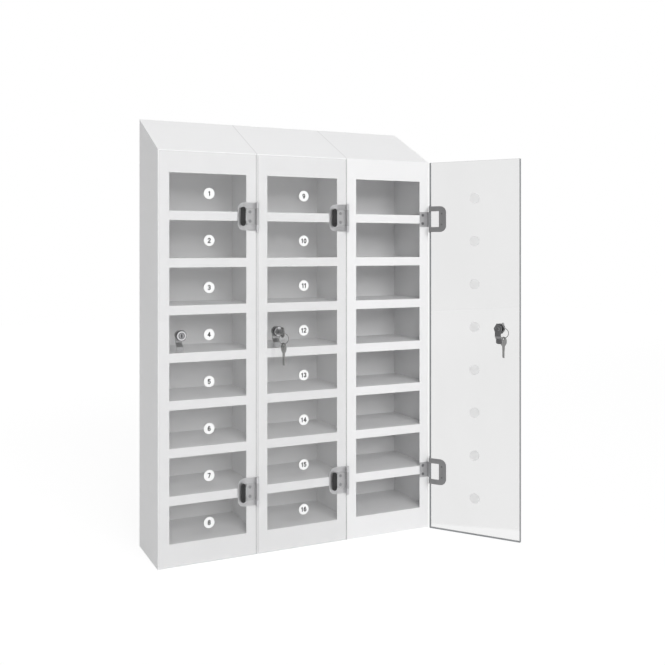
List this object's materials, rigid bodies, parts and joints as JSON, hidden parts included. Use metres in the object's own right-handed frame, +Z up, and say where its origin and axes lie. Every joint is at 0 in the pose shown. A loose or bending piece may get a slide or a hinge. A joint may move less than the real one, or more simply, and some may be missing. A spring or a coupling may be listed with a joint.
{
  "type": "cell phone locker box",
  "caption": "White steel phone locker: side-by-side columns of open-fronted compartments under a sloping top, each column shut by a clear hinged door with a cam lock.",
  "frame": {"origin": "centre of the cabinet's footprint, on the surface it stands on; the open door doesn't count in the footprint", "axes": "+Z up, -Y out of the front, +X to the right as seen from the front"},
  "size_m": [0.8092, 0.3519, 0.975],
  "materials": {
    "white_powder_coat": "fine satin powder coat",
    "clear_acrylic": "clear, polished edges",
    "disc_white": "printed engraving laminate",
    "hinge_steel": "satin nickel plate",
    "black_plastic": "moulded",
    "black_screw": "black oxide",
    "zinc_fastener": "bright zinc plate",
    "lock_chrome": "polished",
    "lock_steel": "dull zinc plate",
    "key_nickel": "nickel plate"
  },
  "bodies": {
    "cabinet": {"casing_1": "white_powder_coat", "front_frame_1": "white_powder_coat", "sloping_top_1": "white_powder_coat", "base_panel_1": "white_powder_coat", "shelves_1": "white_powder_coat", "end_trays_1": "white_powder_coat", "casing_2": "white_powder_coat", "front_frame_2": "white_powder_coat", "sloping_top_2": "white_powder_coat", "base_panel_2": "white_powder_coat", "shelves_2": "white_powder_coat", "end_trays_2": "white_powder_coat", "casing_3": "white_powder_coat", "front_frame_3": "white_powder_coat", "sloping_top_3": "white_powder_coat", "base_panel_3": "white_powder_coat", "shelves_3": "white_powder_coat", "end_trays_3": "white_powder_coat", "module_bolts": "zinc_fastener", "module_nuts": "zinc_fastener", "hinge_body_leaves": "hinge_steel", "hinge_pins": "hinge_steel", "hinge_leaf_screws": "zinc_fastener", "hinge_leaf_nuts": "zinc_fastener"},
    "door_1": {"door_panel_1": "clear_acrylic", "number_discs_1": "disc_white", "hinge_door_leaves_1": "hinge_steel", "hinge_pads_1": "black_plastic", "hinge_pad_screws_1": "black_screw", "lock_body_1": "lock_chrome", "lock_nut_1": "lock_steel"},
    "lock_1": {"lock_plug_1": "lock_chrome", "lock_cam_1": "lock_steel", "cam_screw_1": "lock_steel"},
    "door_2": {"door_panel_2": "clear_acrylic", "number_discs_2": "disc_white", "hinge_door_leaves_2": "hinge_steel", "hinge_pads_2": "black_plastic", "hinge_pad_screws_2": "black_screw", "lock_body_2": "lock_chrome", "lock_nut_2": "lock_steel"},
    "lock_2": {"lock_plug_2": "lock_chrome", "lock_cam_2": "lock_steel", "cam_screw_2": "lock_steel"},
    "key_2": {"key_in_lock_2": "key_nickel"},
    "ring_2": {"key_ring_2": "key_nickel"},
    "spare_2": {"spare_key_2": "key_nickel"},
    "door_3": {"door_panel_3": "clear_acrylic", "number_discs_3": "disc_white", "hinge_door_leaves_3": "hinge_steel", "hinge_pads_3": "black_plastic", "hinge_pad_screws_3": "black_screw", "lock_body_3": "lock_chrome", "lock_nut_3": "lock_steel"},
    "lock_3": {"lock_plug_3": "lock_chrome", "lock_cam_3": "lock_steel", "cam_screw_3": "lock_steel"},
    "key_3": {"key_in_lock_3": "key_nickel"},
    "ring_3": {"key_ring_3": "key_nickel"},
    "spare_3": {"spare_key_3": "key_nickel"}
  },
  "joints": [
    {"name": "door_1_swing", "type": "hinge", "parent": "cabinet", "child": "door_1", "pos_m": [-0.1145, -0.09, 0.445], "axis": [0, 0, 1], "range_deg": [0, 135]},
    {"name": "lock_1_turn", "type": "hinge", "parent": "door_1", "child": "lock_1", "pos_m": [-0.288, -0.0869, 0.4935], "axis": [0, 1, 0], "range_deg": [0, 90]},
    {"name": "door_2_swing", "type": "hinge", "parent": "cabinet", "child": "door_2", "pos_m": [0.1105, -0.09, 0.445], "axis": [0, 0, 1], "range_deg": [0, 135]},
    {"name": "lock_2_turn", "type": "hinge", "parent": "door_2", "child": "lock_2", "pos_m": [-0.063, -0.0869, 0.4935], "axis": [0, 1, 0], "range_deg": [0, 90]},
    {"name": "key_2_pull", "type": "slide", "parent": "lock_2", "child": "key_2", "axis": [0, -1, 0], "range_m": [0, 0.03]},
    {"name": "ring_2_swing", "type": "hinge", "parent": "key_2", "child": "ring_2", "pos_m": [-0.063, -0.1157, 0.4917], "axis": [1, 0, 0], "range_deg": [-60, 8]},
    {"name": "spare_2_swing", "type": "hinge", "parent": "ring_2", "child": "spare_2", "pos_m": [-0.063, -0.1157, 0.4683], "axis": [1, 0, 0], "range_deg": [-30, 10]},
    {"name": "door_3_swing", "type": "hinge", "parent": "cabinet", "child": "door_3", "pos_m": [0.3355, -0.09, 0.445], "axis": [0, 0, 1], "range_deg": [-127, 48]},
    {"name": "lock_3_turn", "type": "hinge", "parent": "door_3", "child": "lock_3", "pos_m": [0.43744, -0.23043, 0.4935], "axis": [-0.7986, -0.6018, 0], "range_deg": [0, 90]},
    {"name": "key_3_pull", "type": "slide", "parent": "lock_3", "child": "key_3", "axis": [0.7986, 0.6018, 0], "range_m": [0, 0.03]},
    {"name": "ring_3_swing", "type": "hinge", "parent": "key_3", "child": "ring_3", "pos_m": [0.46044, -0.2131, 0.4917], "axis": [-0.6018, 0.7986, 0], "range_deg": [-60, 8]},
    {"name": "spare_3_swing", "type": "hinge", "parent": "ring_3", "child": "spare_3", "pos_m": [0.46044, -0.2131, 0.4683], "axis": [-0.6018, 0.7986, 0], "range_deg": [-30, 10]}
  ]
}
